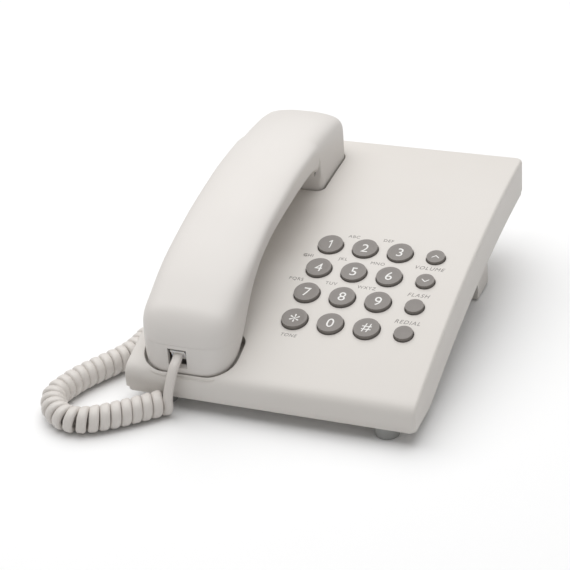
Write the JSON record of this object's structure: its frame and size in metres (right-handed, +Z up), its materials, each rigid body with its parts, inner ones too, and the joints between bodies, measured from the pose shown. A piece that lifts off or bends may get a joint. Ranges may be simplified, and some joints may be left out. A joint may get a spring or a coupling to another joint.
{
  "type": "corded landline phone",
  "caption": "Corded desk phone: arched wedge base on a desk stand, lift-off handset in two cups, dished round keys, hook plunger, slide switches and a curly cord.",
  "frame": {"origin": "on the desk, under the middle of the base's plan outline", "axes": "+X towards the keypad side, +Y towards the rear, +Z up"},
  "size_m": [0.189, 0.2367, 0.0842],
  "materials": {
    "housing_plastic": "moulded, warm white, fine satin grain",
    "handset_plastic": "moulded, warm white, fine satin grain",
    "key_plastic": "moulded, warm grey, soft sheen",
    "grey_rubber": "soft grey silicone",
    "board_laminate": "tan laminate with printed tracks",
    "black_plastic": "moulded black, satin",
    "steel": "zinc-plated steel",
    "clear_plug_plastic": "milky translucent plug plastic",
    "cord_jacket": "soft white vinyl jacket, slight sheen"
  },
  "bodies": {
    "base": {"upper_housing": "housing_plastic", "lower_housing": "housing_plastic", "desk_stand": "housing_plastic", "front_feet": "grey_rubber", "stand_pads": "grey_rubber", "keypad_mat": "grey_rubber", "circuit_board": "board_laminate", "board_components": "black_plastic", "ballast_plate": "steel", "ringer_buzzer": "black_plastic", "hook_switch": "black_plastic", "hook_spring": "steel", "line_jack": "black_plastic", "base_cord_jack": "black_plastic", "housing_screws": "steel", "base_plug": "clear_plug_plastic", "base_lead": "cord_jacket", "curly_coil": "cord_jacket", "handset_lead": "cord_jacket"},
    "handset": {"handset_outer_shell": "handset_plastic", "handset_inner_shell": "handset_plastic", "receiver_capsule": "black_plastic", "receiver_gasket": "grey_rubber", "microphone_capsule": "steel", "microphone_boot": "grey_rubber", "handset_weight": "steel", "handset_cord_jack": "black_plastic", "handset_screws": "steel", "handset_plug": "clear_plug_plastic"},
    "hook_plunger": {"hook_plunger": "housing_plastic"},
    "ringer_knob": {"ringer_knob": "key_plastic"},
    "dial_mode_knob": {"dial_mode_knob": "key_plastic"},
    "key_1": {"key_1": "key_plastic"},
    "key_2": {"key_2": "key_plastic"},
    "key_3": {"key_3": "key_plastic"},
    "key_4": {"key_4": "key_plastic"},
    "key_5": {"key_5": "key_plastic"},
    "key_6": {"key_6": "key_plastic"},
    "key_7": {"key_7": "key_plastic"},
    "key_8": {"key_8": "key_plastic"},
    "key_9": {"key_9": "key_plastic"},
    "key_star": {"key_star": "key_plastic"},
    "key_0": {"key_0": "key_plastic"},
    "key_hash": {"key_hash": "key_plastic"},
    "volume_up_key": {"volume_up_key": "key_plastic"},
    "volume_down_key": {"volume_down_key": "key_plastic"},
    "flash_key": {"flash_key": "key_plastic"},
    "redial_key": {"redial_key": "key_plastic"}
  },
  "joints": [
    {"name": "handset_lift", "type": "slide", "parent": "base", "child": "handset", "axis": [0, 0, 1], "range_m": [0, 0.1], "deforming": ["handset_lead"]},
    {"name": "hook_plunger_slide", "type": "slide", "parent": "base", "child": "hook_plunger", "axis": [0, 0, 1], "range_m": [0, 0.0026], "deforming": ["hook_spring"]},
    {"name": "ringer_slide", "type": "slide", "parent": "base", "child": "ringer_knob", "axis": [1, 0, 0], "range_m": [-0.003, 0.003]},
    {"name": "dial_mode_slide", "type": "slide", "parent": "base", "child": "dial_mode_knob", "axis": [1, 0, 0], "range_m": [-0.003, 0.003]},
    {"name": "key_1_press", "type": "slide", "parent": "base", "child": "key_1", "axis": [0, 0.2264, -0.974], "range_m": [0, 0.0016], "stiffness_N_per_m": 300, "deforming": ["keypad_mat"]},
    {"name": "key_2_press", "type": "slide", "parent": "base", "child": "key_2", "axis": [0, 0.2264, -0.974], "range_m": [0, 0.0016], "stiffness_N_per_m": 300},
    {"name": "key_3_press", "type": "slide", "parent": "base", "child": "key_3", "axis": [0, 0.2264, -0.974], "range_m": [0, 0.0016], "stiffness_N_per_m": 300},
    {"name": "key_4_press", "type": "slide", "parent": "base", "child": "key_4", "axis": [0, 0.2264, -0.974], "range_m": [0, 0.0016], "stiffness_N_per_m": 300},
    {"name": "key_5_press", "type": "slide", "parent": "base", "child": "key_5", "axis": [0, 0.2264, -0.974], "range_m": [0, 0.0016], "stiffness_N_per_m": 300},
    {"name": "key_6_press", "type": "slide", "parent": "base", "child": "key_6", "axis": [0, 0.2264, -0.974], "range_m": [0, 0.0016], "stiffness_N_per_m": 300},
    {"name": "key_7_press", "type": "slide", "parent": "base", "child": "key_7", "axis": [0, 0.2264, -0.974], "range_m": [0, 0.0016], "stiffness_N_per_m": 300},
    {"name": "key_8_press", "type": "slide", "parent": "base", "child": "key_8", "axis": [0, 0.2264, -0.974], "range_m": [0, 0.0016], "stiffness_N_per_m": 300},
    {"name": "key_9_press", "type": "slide", "parent": "base", "child": "key_9", "axis": [0, 0.2264, -0.974], "range_m": [0, 0.0016], "stiffness_N_per_m": 300},
    {"name": "key_star_press", "type": "slide", "parent": "base", "child": "key_star", "axis": [0, 0.2264, -0.974], "range_m": [0, 0.0016], "stiffness_N_per_m": 300},
    {"name": "key_0_press", "type": "slide", "parent": "base", "child": "key_0", "axis": [0, 0.2264, -0.974], "range_m": [0, 0.0016], "stiffness_N_per_m": 300},
    {"name": "key_hash_press", "type": "slide", "parent": "base", "child": "key_hash", "axis": [0, 0.2264, -0.974], "range_m": [0, 0.0016], "stiffness_N_per_m": 300},
    {"name": "volume_up_key_press", "type": "slide", "parent": "base", "child": "volume_up_key", "axis": [0, 0.2264, -0.974], "range_m": [0, 0.0016], "stiffness_N_per_m": 300},
    {"name": "volume_down_key_press", "type": "slide", "parent": "base", "child": "volume_down_key", "axis": [0, 0.2264, -0.974], "range_m": [0, 0.0016], "stiffness_N_per_m": 300},
    {"name": "flash_key_press", "type": "slide", "parent": "base", "child": "flash_key", "axis": [0, 0.2264, -0.974], "range_m": [0, 0.0016], "stiffness_N_per_m": 300},
    {"name": "redial_key_press", "type": "slide", "parent": "base", "child": "redial_key", "axis": [0, 0.2264, -0.974], "range_m": [0, 0.0016], "stiffness_N_per_m": 300}
  ],
  "couplings": [
    {"joint": "hook_plunger_slide", "follows": "handset_lift", "ratio": 0.026}
  ]
}
